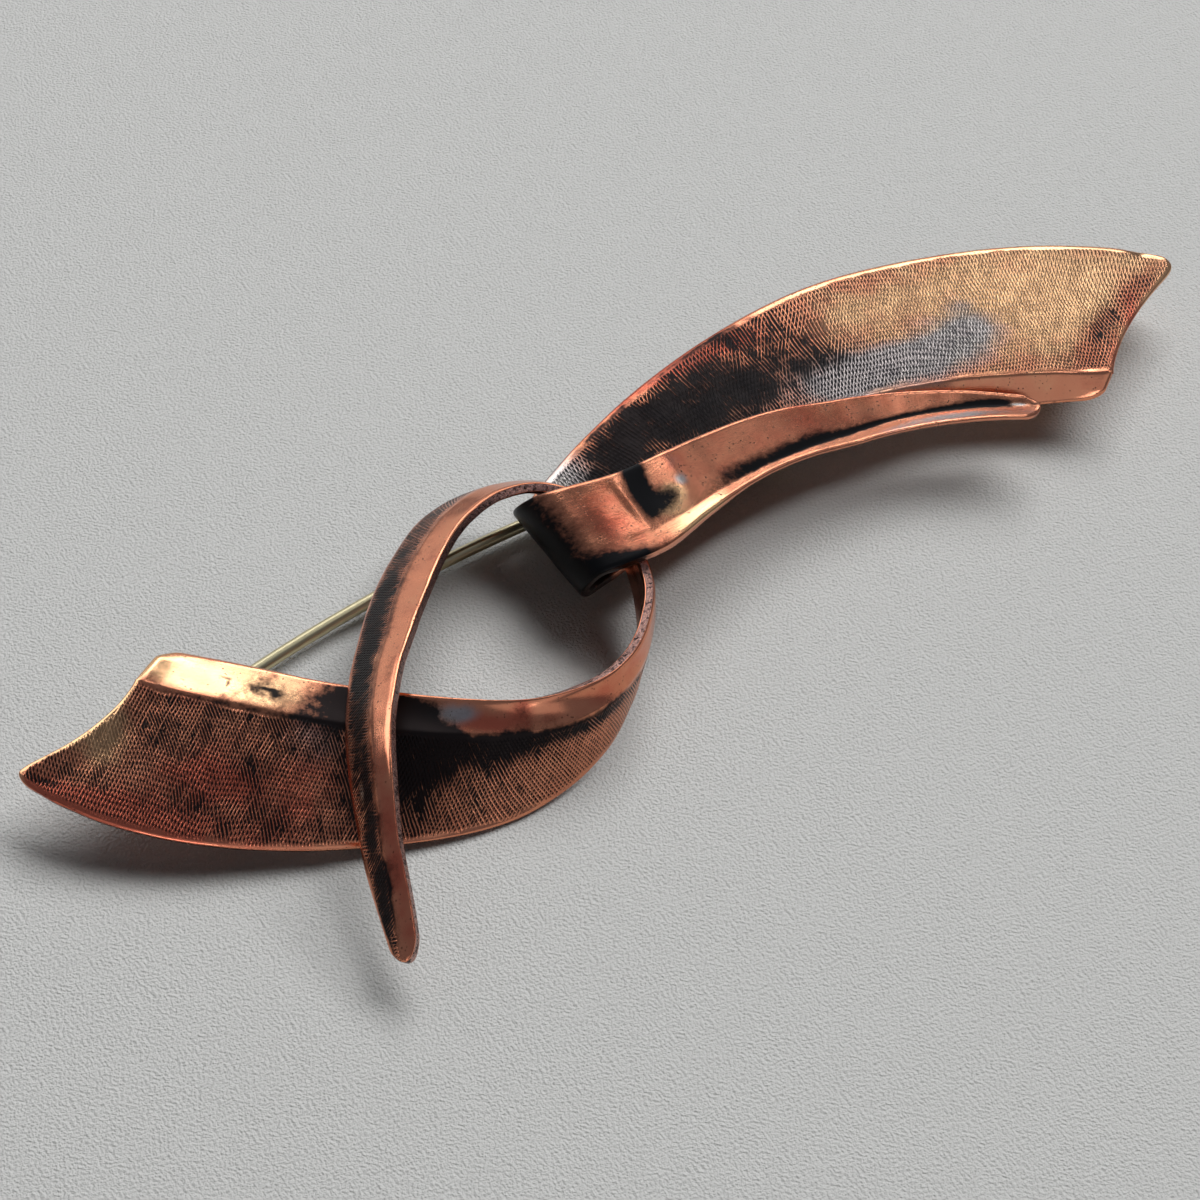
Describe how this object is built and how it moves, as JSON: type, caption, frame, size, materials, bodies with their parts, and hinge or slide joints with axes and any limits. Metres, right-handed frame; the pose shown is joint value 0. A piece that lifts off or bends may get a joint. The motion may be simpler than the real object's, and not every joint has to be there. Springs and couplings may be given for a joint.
{
  "type": "abstract ribbon brooch",
  "caption": "Abstract brooch: two creased copper ribbons, one wound into a loop and one hooked back through it, with a hinged pin stem and an open catch on the back.",
  "frame": {"origin": "centre of the brooch's box in plan, on the surface that its back rests on", "axes": "+X along the brooch to its broad right end, +Y away from the lower edge, +Z out of the front"},
  "size_m": [0.1008, 0.04, 0.0092],
  "materials": {
    "ribbon_copper": "copper, cross-hatched and oxidised on the broad sides, polished on the smooth sides and rims",
    "pin_brass": "polished brass, a little tarnished"
  },
  "bodies": {
    "brooch": {"looped_ribbon": "ribbon_copper", "folded_ribbon": "ribbon_copper", "pin_hinge": "pin_brass", "hinge_rivet": "pin_brass", "pin_catch": "pin_brass"},
    "stem": {"pin_stem": "pin_brass"}
  },
  "joints": [
    {"name": "stem_swing", "type": "hinge", "parent": "brooch", "child": "stem", "pos_m": [0.01397, 0.01072, 0.00105], "axis": [-0.1667, -0.986, 0], "range_deg": [0, 110]}
  ]
}
